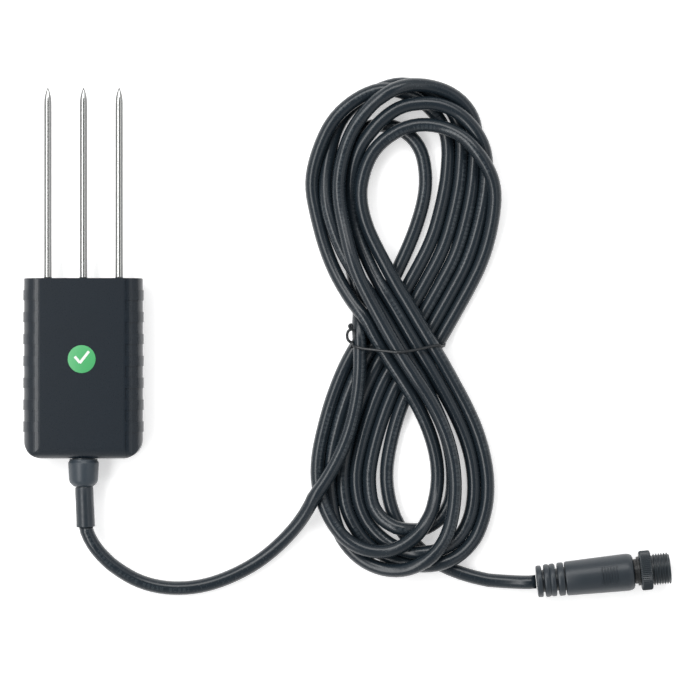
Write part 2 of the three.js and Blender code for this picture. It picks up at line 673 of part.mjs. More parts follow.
// Once round the waist, from a stub at the right, with a small eye at the left.
function wireTie() {
  const r = TIE_DIAMETER / 2;
  const over = HANK_HEIGHT - r - GAP;
  const under = r + 0.1;
  const left = TIE_CHANNEL.left - r - GAP;
  const right = TIE_CHANNEL.right + r + GAP;
  const mid = (left + right) / 2;
  return tube([
    [right + 2.2, -13.4, over - 1.6],
    [right - 0.2, -14.1, over],
    [right - 7, -15.4, over],
    [mid, -17, over],
    [left + 4, -15.8, over],
    [left + 0.8, -14.9, over],
    [left - 0.3, -14, over - 1.4],
    [left - 1.2, -12.7, over - 2.8],
    [left - 2.6, -11.6, over - 3.3],
    [left - 2.8, -10.1, over - 3.8],
    [left - 1.4, -9.2, over - 4.3],
    [left - 0.1, -10.4, over - 4.9],
    [left - 0.1, -12.6, over - 6],
    [left, -14.4, 3.8],
    [left, -14.9, 2],
    [left + 0.7, -15.2, under + 0.25],
    [left + 2.4, -15.5, under],
    [mid, -16.4, under],
    [right - 2.4, -15, under],
    [right - 0.7, -14.6, under + 0.25],
    [right, -14.4, 2],
    [right, -14.2, 3.8],
    [right + 0.1, -14, over - 3.4],
  ], r, TIE_SIDES, TIE_STEPS);
}

// ---- Connector, built along its own +Y from the cable's entry ---------------

function connectorGrip() {
  const rings = RINGS.flatMap(({ from, to, radius }) => [
    [RING_CORE_RADIUS, from], [radius - 0.4, from], [radius, from + 0.5],
    [radius, to - 0.5], [radius - 0.4, to], [RING_CORE_RADIUS, to],
  ]);
  const edge = GRIP_EDGE_RADIUS;
  const front = [0, 1, 2, 3].map((i) => {
    const angle = (i / 3) * (Math.PI / 2);
    return [
      GRIP_FRONT_RADIUS - edge + edge * Math.cos(angle),
      GRIP_LENGTH - edge + edge * Math.sin(angle),
    ];
  });
  return turned([
    [cableBore, 0], ...rings,
    [RING_CORE_RADIUS, GRIP_START], [GRIP_REAR_RADIUS - 0.4, GRIP_START],
    [GRIP_REAR_RADIUS, GRIP_START + 0.4],
    ...front,
    [carrierRadius + GAP, GRIP_LENGTH], [carrierRadius + GAP, CABLE_END_LENGTH],
    [cableBore, CABLE_END_LENGTH], [cableBore, 0],
  ]);
}

function contactPlaces() {
  return [0, 1, 2, 3].map((i) => {
    const angle = Math.PI / 4 + (i * Math.PI) / 2;
    return [CONTACT_CIRCLE_RADIUS * Math.cos(angle), CONTACT_CIRCLE_RADIUS * Math.sin(angle)];
  });
}

const contactRadius = CONTACT_DIAMETER / 2;
const contactRear = CARRIER_START + CONTACT_STEP;

function contactCarrier() {
  const body = turned([
    [0, CARRIER_START], [carrierRadius, CARRIER_START], [carrierRadius, GRIP_LENGTH + GAP],
    [neckRadius, GRIP_LENGTH + GAP], [neckRadius, NECK_FLANGE.from],
    [neckRadius + NECK_FLANGE.lip, NECK_FLANGE.from], [neckRadius + NECK_FLANGE.lip, NECK_FLANGE.to],
    [shroudRadius, NECK_FLANGE.to], [shroudRadius, shroudEnd],
    [socketRadius, shroudEnd], [socketRadius, SOCKET_FLOOR], [0, SOCKET_FLOOR],
  ]);
  const key = block(
    [-0.7, SOCKET_FLOOR - 1, socketRadius - 0.8],
    [0.7, shroudEnd - 1, socketRadius + 0.2],
  );
  const holes = contactPlaces().map(([x, z]) => rod(
    contactRadius + GAP, CARRIER_START - 1, SOCKET_FLOOR + 1, x, z, 12,
  ));
  return join(body, key).subtract(join(...holes));
}

function contactPin([x, z]) {
  const tip = shroudEnd - CONTACT_SETBACK;
  return turned([
    [0, contactRear], [contactRadius, contactRear], [contactRadius, tip - contactRadius],
    [contactRadius * 0.7, tip - contactRadius * 0.3], [0, tip],
  ], 12, x, z);
}

// Each core runs from its place in the cable to the back of its contact.
function connectorCore([dx, dz], [x, z]) {
  const start = CABLE_END_LENGTH + GAP;
  return tube([
    [dx, start, dz],
    [dx * 1.1, start + (CARRIER_START - start) * 0.4, dz * 1.1],
    [x, CARRIER_START - 1, z],
    [x, contactRear - GAP, z],
  ], contactRadius, 8, 8);
}

function couplingScrew() {
  const { from, to, chamfer } = KNURL;
  const crests = [];
  for (let turn = 0; turn < THREAD.turns; turn += 1) {
    const y = THREAD.from + turn * THREAD.pitch;
    crests.push(
      [threadRoot, y],
      [THREAD_RADIUS, y + THREAD.pitch * 0.4],
      [THREAD_RADIUS, y + THREAD.pitch * 0.55],
    );
  }
  return turned([
    [screwBore, from], [knurlRadius - chamfer, from], [knurlRadius, from + chamfer],
    [knurlRadius, to - chamfer], [knurlRadius - chamfer, to], [threadRoot, to], ...crests,
    [threadRoot, CONNECTOR_LENGTH - 0.2], [threadRoot - 0.1, CONNECTOR_LENGTH],
    [screwBore, CONNECTOR_LENGTH], [screwBore, from],
  ]);
}

// ---- Assembly ---------------------------------------------------------------

add('housing_shell', housingShell(), FINISH.housingPlastic);
add('potting_resin', pottingResin(), FINISH.resin);
for (const [side, x] of Object.entries(pinXs)) {
  add(`probe_pin_${side}`, pin(x, side === 'middle'), FINISH.steel);
  add(`pin_clip_${side}`, pinClip(x), FINISH.tin);
}
add('thermistor_bead', thermistorBead(), FINISH.epoxyBead);
add('circuit_board', circuitBoard(), FINISH.board);
for (const piece of CHIPS) {
  add(piece.name, chip(piece), { color: piece.color, roughness: 0.5, metalness: 0 });
}
for (const piece of CAPACITORS) {
  add(piece.name, capacitor(piece), FINISH.tin);
}
add('power_inductor', inductor(INDUCTOR), FINISH.ferrite);
add('crystal_oscillator', crystal(CRYSTAL), FINISH.tin);
for (const place of corePlaces()) {
  add(`core_${place.name}`, headCore(place), {
    color: CORE_COLORS[place.name], roughness: 0.45, metalness: 0,
  });
}
add('cable_inlet_end', rod(cableRadius, sleeveEndY, inletY, 0, midZ), FINISH.cableJacket);
add('cable_boot', cableBoot(), FINISH.rubber);
add('heat_shrink_sleeve', heatShrinkSleeve(), FINISH.rubber);
add('quality_label', qualityLabel(), FINISH.greenLabel);

add('cable_lead', tube(leadPoints, cableRadius, CABLE_SIDES, LEAD_STEPS), FINISH.cableJacket);
add('cable_hank', cableHank(), FINISH.cableJacket);
add('cable_tail', tube(tailPoints, cableRadius, CABLE_SIDES, TAIL_STEPS), FINISH.cableJacket);
add('wire_tie', wireTie(), FINISH.wire);

add('connector_grip', connectorGrip(), FINISH.grip, connector);
add('connector_cable_end', rod(cableRadius, 0, CABLE_END_LENGTH), FINISH.cableJacket, connector);
add('contact_carrier', contactCarrier(), FINISH.insert, connector);
contactPlaces().forEach((place, i) => {
  add(`contact_pin_${i + 1}`, contactPin(place), FINISH.gold, connector);
});
contactPlaces().forEach((place, i) => {
  const { name } = corePlaces()[i];
  const square = [Math.sign(place[0]) * CORE_SPACING / 2, Math.sign(place[1]) * CORE_SPACING / 2];
  add(`connector_core_${name}`, connectorCore(square, place), {
    color: CORE_COLORS[name], roughness: 0.45, metalness: 0,
  }, connector);
});
add('coupling_screw', couplingScrew(), FINISH.screw, connector);

export default probe;
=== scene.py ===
import math

import bpy
import numpy as np
from mathutils import Matrix, Vector


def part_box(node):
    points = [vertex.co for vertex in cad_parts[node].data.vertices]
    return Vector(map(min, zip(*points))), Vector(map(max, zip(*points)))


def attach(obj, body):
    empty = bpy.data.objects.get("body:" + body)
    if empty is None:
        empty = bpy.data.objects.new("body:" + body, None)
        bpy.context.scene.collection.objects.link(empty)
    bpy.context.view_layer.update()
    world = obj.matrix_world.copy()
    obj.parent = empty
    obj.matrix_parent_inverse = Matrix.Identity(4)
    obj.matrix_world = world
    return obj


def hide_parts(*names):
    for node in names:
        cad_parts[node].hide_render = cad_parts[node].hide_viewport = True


bl_info = {
    "name": "Soil probe",
    "version": (1, 0, 0),
    "blender": (4, 5, 0),
    "location": "View3D > Sidebar > Soil Probe",
    "description": "A three-pin soil probe with a tied hank of cable and a threaded connector",
    "category": "Object",
}

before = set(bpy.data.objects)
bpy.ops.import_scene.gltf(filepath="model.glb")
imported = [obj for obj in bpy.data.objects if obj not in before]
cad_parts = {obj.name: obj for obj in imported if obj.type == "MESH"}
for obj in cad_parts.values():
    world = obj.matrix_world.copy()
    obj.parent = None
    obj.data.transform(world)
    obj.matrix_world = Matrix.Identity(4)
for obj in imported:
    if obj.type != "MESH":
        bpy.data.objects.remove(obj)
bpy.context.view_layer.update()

MM = 0.001
BODY = "probe"
SCREW_BODY = "coupling_screw"
PINPOINT = 0.01  # mm; a ring this small is merged into one point at the end of a turned piece

# ---- Cable route, in millimetres: x, y and height ----------------------------
# Straight out of the sleeve, down onto the table, then up over the outer turns.

LEAD = [
    (0.7, -81.8, 7.5), (0.95, -83.2, 7.5), (1.7, -85.5, 7.4), (3.3, -88.7, 7.1),
    (5.5, -91.9, 6.6), (9.4, -96.1, 5.5), (14.7, -100.6, 4.3), (21.7, -104.2, 3.2), (28.6, -106, 2.7),
    (35.1, -106.4, 2.6), (41.9, -106, 2.6), (49, -104.3, 2.6), (57.1, -101, 2.6),
    (66.4, -95.8, 2.7), (74.9, -88.4, 3), (82.1, -80.3, 4.2), (86.8, -72.6, 6.2),
    (91.1, -65.8, 7.7), (95.6, -57.5, 7.8), (99.0, -50.0, 7.8), (101.1, -42.5, 7.8),
    (102.8, -35.0, 7.8), (103.7, -27.5, 7.8), (104.1, -20.0, 7.6), (104.3, -12.4, 6.6),
]
# Under the last turns and out to the connector.
TAIL = [
    (123.5, -88.8, 2.6), (127.6, -92.9, 2.6), (131.7, -96.1, 2.6), (136.6, -98.4, 2.6),
    (141.2, -100.3, 2.65), (145.6, -101.8, 2.65), (150, -102.8, 2.75), (156.6, -103.4, 3.3),
    (163.6, -103.7, 4.7), (167.5, -103.69, 5.97), (170.2, -103.43, 6.065),
]

# The hank is laid in a figure of eight. Each row is a station on the way round: a point
# of the bundle in millimetres, the way out of the loop in degrees, how far out each turn
# lies there, and how high it starts, both in cable widths, first turn first.
UPPER_LOOP = [
    ((121, -16), 213.5, (None, 1.4, 0.5, -0.7, 0.0, -1.8), (0, 1.1, 1.9, 1.9, 1.1, 1.1)),
    ((112, -1), 212, (1.6, 1.5, 0.4, -0.7, -0.1, -1.8), (0.3, 1.1, 1.9, 1.6, 1.0, 1.1)),
    ((103, 17), 204, (0.5, 1.8, 0.4, -0.7, 0.6, -1.7), (0, 1.0, 1.8, 1.0, 1.0, 1.1)),
    ((96, 31), 192.7, (-0.2, 1.4, -0.3, -1.0, 0.4, -1.8), (0, 0.9, 1.2, 0.3, 0.6, 1.0)),
    ((95, 45), 180, (-0.1, 1.6, -0.1, -0.8, 0.7, -1.6), (0, 0.8, 1.0, 0, 0, 1.0)),
    ((98, 57), 168, (0.2, 1.8, 0.1, -0.8, 1.1, -1.7), (0, 0.9, 1.0, 0, 0, 1.0)),
    ((101, 67), 150, (0.1, 1.5, 0.0, -1.0, 1.2, -2.1), (0, 1.0, 1.1, 0.2, 0, 1.0)),
    ((108, 75), 130, (-0.4, 1.1, 0.1, -1.2, 1.0, -2.5), (0, 1.0, 1.3, 0.5, 0, 1.0)),
    ((116, 79), 108, (-1.4, 0.8, 0.6, -0.8, 0.8, -2.3), (0, 0.9, 1.9, 1.0, 0, 1.0)),
    ((126, 78), 90, (-2.7, 0.3, 1.1, -0.2, 0.9, -1.7), (0, 0.3, 1.2, 1.0, 0, 1.1)),
    ((136, 75), 65, (-3.7, -0.8, 1.2, 0.2, 0.5, -1.4), (0, 0, 1.0, 1.0, 0, 1.1)),
    ((143, 69), 45, (-3.8, -1.4, 1.0, 0.4, -0.3, -0.8), (0, 0, 0.6, 1.0, 0, 1.5)),
    ((146, 60), 20, (-3.6, -1.6, 0.6, 0.8, -0.8, 0.2), (0, 0, 0, 1.0, 0, 2.0)),
    ((147, 47), 0, (-3.4, -1.7, 0.0, 0.7, -1.0, 1.4), (0, 0, 0, 0.8, 0, 1.2)),
    ((144, 35), -14, (-3.2, -1.7, 0.1, 1.0, -0.9, 1.9), (0, 0, 0, 0.6, 0, 0.9)),
    ((139, 21), -22, (-3.1, -1.7, 0.4, 1.3, -0.7, 2.1), (0, 0, 0, 0.4, 0, 0.9)),
    ((131, 6), -28, (-2.9, -1.7, 0.5, 1.4, -0.7, 2.0), (0, 0, 0, 0, 0, 0.8)),
    ((121, -14), -29, (-3.0, -1.9, 0.3, 1.1, -0.9, 1.8), (0, 0, 0, 0, 0, 0.5)),
]
LOWER_LOOP = [
    ((111, -27), 151, (2.6, 1.6, -0.5, -1.2, 0.6, -2.2), (0, 0, 0, 0, 0, 0)),
    ((105, -46), 166, (2.7, 1.7, -0.2, -0.9, 0.8, -2.2), (0, 0, 0, 0, 0, 0)),
    ((101, -65), 180, (2.3, 1.7, -0.2, -0.9, 0.9, -2.4), (0.3, 0, 0, 0, 0, 0)),
    ((102, -76), 196, (1.9, 1.7, -0.3, -1.0, 0.6, -2.6), (0.6, 0, 0, 0, 0, 0)),
    ((105, -83), 214, (1.6, 1.8, -0.3, -0.9, 0.5, -2.4), (0.9, 0.1, 0, 0.2, 0, 0)),
    ((111, -90), 238, (0.6, 1.6, -0.4, -1.1, 0.4, -2.2), (1.1, 0.5, 0.1, 0.5, 0, 0)),
    ((119, -94), 264, (-0.6, 1.1, -0.4, -1.2, 0.5), (1.3, 1.0, 0.3, 1.0, 0.2)),
    ((128, -93), 290, (-1.5, 0.5, 0.0, -0.9, 0.9), (1.9, 1.8, 1.0, 0.8, 1.0)),
    ((136, -88), 315, (-1.8, 0.0, 0.8, -0.6, 1.6), (1.7, 1.7, 0.9, 0.2, 0.8)),
    ((141, -78), 340, (-1.9, -0.4, 1.0, -0.6, 1.9), (0.8, 1.2, 0.5, 0, 0.1)),
    ((143, -65), 0, (-1.8, -0.6, 0.8, -0.7, 1.8), (0.3, 1.0, 0.3, 0, 0)),
    ((141, -50), 16, (-1.8, -0.7, 0.6, -0.7, 1.5), (0.6, 1.3, 0.8, 0.5, 0.3)),
    ((134, -35), 28, (-1.6, -0.6, 0.6, -0.5, 1.4), (1.0, 1.7, 1.6, 1.0, 0.9)),
]
TURNS = 6

# ---- Wire tie, in millimetres -------------------------------------------------

TIE_TOP = [
    (134.6, -14.4), (132.0, -14.6), (127.0, -15.7), (122.0, -16.6), (117.5, -17.0),
    (113.5, -16.6), (109.0, -16.1), (105.0, -15.6), (101.6, -14.8),
]

# From the end of the stretch over the hank, round the eye and back down.
TIE_EYE = [
    (99.6, -12.6, 9.4), (99.1, -10.9, 9.4), (99.5, -9.2, 9.5), (100.6, -8.3, 9.7),
    (101.0, -7.3, 10.0), (100.5, -6.6, 10.3), (99.9, -7.2, 10.4), (100.4, -8.1, 10.2),
    (101.6, -9.0, 9.8), (102.2, -10.8, 9.5), (101.7, -12.6, 8.9), (100.9, -13.9, 7.8),
    (100.7, -14.8, 5.8),
]
TIE_UNDER = [
    (101.0, -15.4, 3.4), (102.6, -16.0, 1.2), (106.0, -16.4, 0.6), (113.0, -17.0, 0.6),
    (120.0, -17.0, 0.6), (127.0, -16.4, 0.6), (133.0, -15.3, 1.0), (135.4, -14.7, 3.4),
    (135.6, -14.3, 6.6), (134.9, -14.0, 9.0), (136.0, -13.6, 9.6),
]

# ---- Housing, in millimetres ---------------------------------------------------

MID_HEIGHT = 7.5
PANEL_HALF = 15.6  # from the middle to where the long edges start to round
SIDE_HALF_FLAT = 0.5
WALL_MIDDLE = 6.3  # about the long edges' own axis, between the inside and the outside
RIM_BEVEL = 0.45

# ---- Connector, in millimetres along its own axis from the cable's entry ------

ENTRY = Vector((170.5, -103.4, 6.0758))
HEADING = math.radians(6.1)
PITCH = math.radians(1.988)
# Radius and distance: three flexible rings, the grip, then back along the bore.
GRIP_OUTLINE = [
    (2.9, 0), (5.4, 0), (5.85, 0.15), (6.0, 0.6), (6.0, 1.6), (5.85, 1.95), (5.4, 2.1),
    (4.2, 2.1), (4.2, 2.9), (5.5, 2.9), (6.0, 3.05), (6.2, 3.5), (6.2, 4.4),
    (5.95, 4.85), (5.75, 5.05), (5.95, 5.25), (6.2, 5.7), (6.2, 6.6), (6.0, 7.05),
    (5.5, 7.2), (4.2, 7.2), (4.2, 8.0), (5.6, 8.0), (6.1, 8.15), (6.3, 8.6),
    (6.3, 9.9), (6.1, 10.35), (5.6, 10.5), (4.4, 10.5), (4.4, 10.9), (5.9, 10.9),
    (6.3, 11.05), (6.45, 11.5), (6.6, 17.5), (6.8, 25.0), (6.95, 31.0), (7.0, 33.8),
    (6.95, 34.6), (6.75, 35.5), (6.35, 36.2), (5.5, 36.6), (4.2, 36.6), (4.2, 35.5),
    (4.2, 18), (2.9, 18), (2.9, 0),
]
BAR_COUNT = 6
BAR_START = 24.3
BAR_PITCH = 1.12
BAR_LEAN = math.radians(62)  # of the planes that cut each bar off, on both sides
KNURL_RADIUS = 7.45
KNURL_SIDES = 120  # every second one is a groove
SCREW_OUTLINE = [
    (4.9, 39.0), (6.75, 39.0), (7.15, 39.12), (KNURL_RADIUS, 39.55), (KNURL_RADIUS, 42.75),
    (7.15, 43.18), (6.75, 43.3), (5.6, 43.3), (5.3, 43.5), (5.3, 50.0), (5.1, 50.3),
    (4.9, 50.3), (4.9, 39.0),
]
THREAD_START = 44.05
THREAD_TURNS = 6
THREAD_RISE = 5.9
THREAD_MIDDLE = 5.55  # radius half way up the thread's flank
THREAD_STEPS = 48  # to a turn

# ---- Stage: place in metres, width, height and power of each softbox -----------

TABLE_CENTRE = Vector((0.1, -0.016, 0))
SOFTBOXES = {
    "left": ((-0.72, -0.016, 1.26), 2.1, 0.5, 16),
    "behind": ((0.1, 0.92, 1.18), 1.2, 0.6, 9),
    "right": ((1.02, -0.016, 1.18), 1.4, 0.3, 1.6),
}


def linear(colour):
    """An sRGB hex colour as linear red, green, blue, alpha."""
    parts = [int(colour[i:i + 2], 16) / 255 for i in (1, 3, 5)]
    light = [c / 12.92 if c <= 0.04045 else ((c + 0.055) / 1.055) ** 2.4 for c in parts]
    return (*light, 1.0)


class ProbeSizes(bpy.types.PropertyGroup):
    """Sizes that a user would change."""

    cable_diameter: bpy.props.FloatProperty(
        name="Cable diameter", description="Outside diameter of the signal cable",
        default=5.2 * MM, unit="LENGTH", precision=4)
    tie_diameter: bpy.props.FloatProperty(
        name="Tie diameter", description="Coated wire of the tie",
        default=1.1 * MM, unit="LENGTH", precision=4)
    edge_radius: bpy.props.FloatProperty(
        name="Edge radius", description="Softening of the housing's moulded edges",
        default=0.12 * MM, unit="LENGTH", precision=5)
    knurl_depth: bpy.props.FloatProperty(
        name="Knurl depth", description="Depth of the grooves on the coupling screw",
        default=0.35 * MM, unit="LENGTH", precision=5)
    camera_height: bpy.props.FloatProperty(
        name="Camera height", description="Height of the camera above the table",
        default=1.1, unit="LENGTH")


class ProbeColours(bpy.types.PropertyGroup):
    """Colours that a user would change, linear."""

    housing: bpy.props.FloatVectorProperty(
        name="Housing", description="Moulded plastic of the housing",
        subtype="COLOR", size=3, default=linear("#0d1923")[:3], min=0, max=1)
    jacket: bpy.props.FloatVectorProperty(
        name="Cable jacket", description="PVC jacket of the cable",
        subtype="COLOR", size=3, default=linear("#1d262d")[:3], min=0, max=1)
    connector: bpy.props.FloatVectorProperty(
        name="Connector", description="Moulded grip of the connector",
        subtype="COLOR", size=3, default=linear("#262e35")[:3], min=0, max=1)
    label: bpy.props.FloatVectorProperty(
        name="Label", description="Green film of the round label",
        subtype="COLOR", size=3, default=linear("#4dad6c")[:3], min=0, max=1)


# ---- Modelling helpers --------------------------------------------------------

def clear():
    if bpy.context.object and bpy.context.object.mode != "OBJECT":
        bpy.ops.object.mode_set(mode="OBJECT")
    bpy.ops.object.select_all(action="DESELECT")


def pick(obj):
    clear()
    obj.select_set(True)
    bpy.context.view_layer.objects.active = obj


def take(name):
    obj = bpy.context.object
    obj.name = name
    obj.data.name = name
    return obj


def settle_transform(obj, matrix=None):
    pick(obj)
    if matrix is not None:
        obj.matrix_world = matrix
    bpy.ops.object.transform_apply(location=True, rotation=True, scale=True)


def close_up(obj, distance=0.03, outward=True):
    """Merges doubles and turns the faces outwards."""
    pick(obj)
    bpy.ops.object.mode_set(mode="EDIT")
    bpy.ops.mesh.select_all(action="SELECT")
    bpy.ops.mesh.remove_doubles(threshold=distance * MM)
    if outward:
        bpy.ops.mesh.normals_make_consistent(inside=False)
    bpy.ops.object.mode_set(mode="OBJECT")


def shade(obj, degrees=35):
    pick(obj)
    bpy.ops.object.shade_smooth_by_angle(angle=math.radians(degrees))


def soften(obj, width, segments=2, degrees=30):
    """Rounds the edges that are sharper than the angle."""
    pick(obj)
    bevel = obj.modifiers.new("edges", "BEVEL")
    bevel.width = width
    bevel.segments = segments
    bevel.limit_method = "ANGLE"
    bevel.angle_limit = math.radians(degrees)
    bevel.use_clamp_overlap = True
    bpy.ops.object.modifier_apply(modifier=bevel.name)


def steady(obj):
    """Keeps broad faces flat where they meet small rounded ones."""
    pick(obj)
    weigh = obj.modifiers.new("normals", "WEIGHTED_NORMAL")
    weigh.keep_sharp = True
    bpy.ops.object.modifier_apply(modifier=weigh.name)


def turned(name, profile, sides=64):
    """A turned piece about +Z. The outline is (radius, height) in millimetres."""
    radius, height = profile[0]
    radius = max(radius, PINPOINT)
    clear()
    bpy.ops.mesh.primitive_circle_add(
        vertices=sides, radius=radius * MM, location=(0, 0, height * MM))
    bpy.ops.object.transform_apply(location=True)
    bpy.ops.object.mode_set(mode="EDIT")
    bpy.ops.mesh.select_all(action="SELECT")
    for next_radius, next_height in profile[1:]:
        next_radius = max(next_radius, PINPOINT)
        bpy.ops.mesh.extrude_region_move(
            TRANSFORM_OT_translate={"value": (0, 0, (next_height - height) * MM)})
        grow = next_radius / radius
        bpy.ops.transform.resize(value=(grow, grow, 1), center_override=(0, 0, 0))
        radius, height = next_radius, next_height
    bpy.ops.object.mode_set(mode="OBJECT")
    obj = take(name)
    close_up(obj)
    return obj


def cad_copy(node, name):
    """A copy of a CAD solid, merged, with its flat faces whole again."""
    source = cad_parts[node]
    obj = bpy.data.objects.new(name, source.data.copy())
    bpy.context.scene.collection.objects.link(obj)
    obj.data.name = name
    close_up(obj, 0.001, outward=False)
    pick(obj)
    bpy.ops.object.mode_set(mode="EDIT")
    bpy.ops.mesh.select_all(action="SELECT")
    bpy.ops.mesh.dissolve_limited(angle_limit=math.radians(0.5))
    bpy.ops.object.mode_set(mode="OBJECT")
    return obj


def give(obj, material, body=BODY, stands_for=()):
    obj.data.materials.clear()
    obj.data.materials.append(material)
    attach(obj, body)
    if stands_for:
        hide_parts(*stands_for)
    return obj


def tube(name, points, radius, sides=14, lift=0.0):
    """A round tube along points in metres, with its length and girth as its UV map."""
    p = np.asarray(points, float)
    along = np.gradient(p, axis=0)
    along /= np.linalg.norm(along, axis=1)[:, None]
    side = np.cross(along, (0.0, 0.0, 1.0))
    side /= np.linalg.norm(side, axis=1)[:, None]
    up = np.cross(side, along)
    turn = np.arange(sides) / sides * math.tau
    rings = (p[:, None, :]
             + radius * np.cos(turn)[None, :, None] * up[:, None, :]
             + radius * np.sin(turn)[None, :, None] * side[:, None, :])
    count = len(p)
    faces, coords = [], []
    far = np.r_[0, np.cumsum(np.linalg.norm(np.diff(p, axis=0), axis=1))]
    for i in range(count - 1):
        for j in range(sides):
            k = (j + 1) % sides
            faces.append((i * sides + j, (i + 1) * sides + j, (i + 1) * sides + k, i * sides + k))
            coords += [(far[i], j / sides), (far[i + 1], j / sides),
                       (far[i + 1], (j + 1) / sides), (far[i], (j + 1) / sides)]
    faces.append(tuple(range(sides)))
    faces.append(tuple((count - 1) * sides + j for j in reversed(range(sides))))
    coords += [(far[0], 0.5)] * sides + [(far[-1], 0.5)] * sides
    mesh = bpy.data.meshes.new(name)
    mesh.from_pydata(rings.reshape(-1, 3).tolist(), [], faces)
    layer = mesh.uv_layers.new(name="length_girth")
    layer.data.foreach_set("uv", np.array(coords, np.float32).ravel())
    mesh.polygons.foreach_set("use_smooth", [True] * (len(faces) - 2) + [False] * 2)
    obj = bpy.data.objects.new(name, mesh)
    bpy.context.scene.collection.objects.link(obj)
    return obj


def connector_matrix():
    """The connector's own frame: +Z along its axis from the cable's entry, +Y up."""
    axis = Vector((math.cos(PITCH) * math.cos(HEADING),
                   math.cos(PITCH) * math.sin(HEADING), math.sin(PITCH)))
    across = Vector((0, 0, 1)).cross(axis).normalized()
    up = axis.cross(across)
    matrix = Matrix((-across, up, axis)).transposed().to_4x4()
    matrix.translation = ENTRY * MM
    return matrix


# ---- Cable: laid turn by turn, then settled ------------------------------------

def laid_route():
    """The points of the whole cable before it settles, in millimetres."""
    width = bpy.context.scene.probe_sizes.cable_diameter / MM
    points = list(LEAD)
    for turn in range(TURNS):
        for (x, y), outward, lanes, heights in UPPER_LOOP + LOWER_LOOP:
            if turn >= len(lanes) or lanes[turn] is None:
                continue
            out = lanes[turn] * width
            angle = math.radians(outward)
            points.append((x + out * math.cos(angle), y + out * math.sin(angle),
                           width * (0.5 + heights[turn])))
    return np.array(points + TAIL)


def drawn_through(points, step):
    """A smooth line through the points, cut into equal steps."""
    ends = np.vstack([2 * points[0] - points[1], points, 2 * points[-1] - points[-2]])
    line = []
    for a, b, c, d in zip(ends, ends[1:], ends[2:], ends[3:]):
        k0 = 0.0
        k1 = k0 + np.linalg.norm(b - a) ** 0.5
        k2 = k1 + np.linalg.norm(c - b) ** 0.5
        k3 = k2 + np.linalg.norm(d - c) ** 0.5
        for k in np.linspace(k1, k2, 12, endpoint=False):
            ab = ((k1 - k) * a + (k - k0) * b) / (k1 - k0)
            bc = ((k2 - k) * b + (k - k1) * c) / (k2 - k1)
            cd = ((k3 - k) * c + (k - k2) * d) / (k3 - k2)
            abc = ((k2 - k) * ab + (k - k0) * bc) / (k2 - k0)
            bcd = ((k3 - k) * bc + (k - k1) * cd) / (k3 - k1)
            line.append(((k2 - k) * abc + (k - k1) * bcd) / (k2 - k1))
    line = np.array(line + [points[-1]])
    far = np.r_[0, np.cumsum(np.linalg.norm(np.diff(line, axis=0), axis=1))]
    marks = np.linspace(0, far[-1], int(round(far[-1] / step)) + 1)
    return np.column_stack([np.interp(marks, far, line[:, k]) for k in range(3)])


def open_bends(p, least, reach=3):
    """Moves the points of each bend tighter than the least radius a little inwards."""
    chord = (p[:-2 * reach] + p[2 * reach:]) / 2 - p[reach:-reach]
    span = np.linalg.norm(p[2 * reach:] - p[:-2 * reach], axis=1)
    radius = span ** 2 / (8 * np.linalg.norm(chord, axis=1) + 1e-9)
    give_way = 0.5 * np.clip(1 - radius / least, 0, 1)
    p[reach:-reach] += np.convolve(give_way, np.ones(5) / 5, "same")[:, None] * chord


def settled(points, width, step, rounds=260):
    """Lets the laid turns sink onto the table and onto each other, without passing through."""
    count = len(points)
    laid = points.copy()
    for _ in range(8):
        laid[8:-8] += 0.5 * ((laid[7:-9] + laid[9:-7]) / 2 - laid[8:-8])
    for _ in range(30):
        open_bends(laid, 3.1 * width)
    p = laid.copy()
    order = np.arange(count)
    apart = order[None, :] - order[:, None] > int(math.pi * width / step) + 2
    for n in range(rounds):
        if n % 8 == 0:
            gap2 = ((p[:, None, :] - p[None, :, :]) ** 2).sum(-1)
            one, two = np.nonzero(apart & (gap2 < (1.6 * width) ** 2))
        p[:, 2] -= 0.015 * width * (1 - n / rounds)
        p[:, :2] += 0.06 * (laid[:, :2] - p[:, :2])
        shift = p - laid
        p[1:-1] += 0.5 * ((shift[:-2] + shift[2:]) / 2 - shift[1:-1])
        p[1:-1, 2] += 0.4 * ((p[:-2, 2] + p[2:, 2]) / 2 - p[1:-1, 2])
        open_bends(p, 3.1 * width)
        for _ in range(3):
            between = p[two] - p[one]
            away = np.linalg.norm(between, axis=1) + 1e-9
            hit = away < width
            push = between[hit] * ((width - away[hit]) / away[hit] / 2)[:, None]
            total, times = np.zeros_like(p), np.zeros(count)
            np.add.at(total, one[hit], -push)
            np.add.at(total, two[hit], push)
            np.add.at(times, one[hit], 1)
            np.add.at(times, two[hit], 1)
            p += 1.3 * total / np.maximum(times, 1)[:, None]
            p[:, 2] = np.maximum(p[:, 2], width / 2)
        p[:8], p[-8:] = laid[:8], laid[-8:]
    return p


# ---- Materials ------------------------------------------------------------------

def add(tree, kind, inputs=None, **settings):
    """A node with its settings and its input values or links."""
    made = tree.nodes.new("ShaderNode" + kind)
    for key, value in settings.items():
        setattr(made, key, value)
    for key, value in (inputs or {}).items():
        if isinstance(value, bpy.types.NodeSocket):
            tree.links.new(value, made.inputs[key])
        else:
            made.inputs[key].default_value = value
    return made


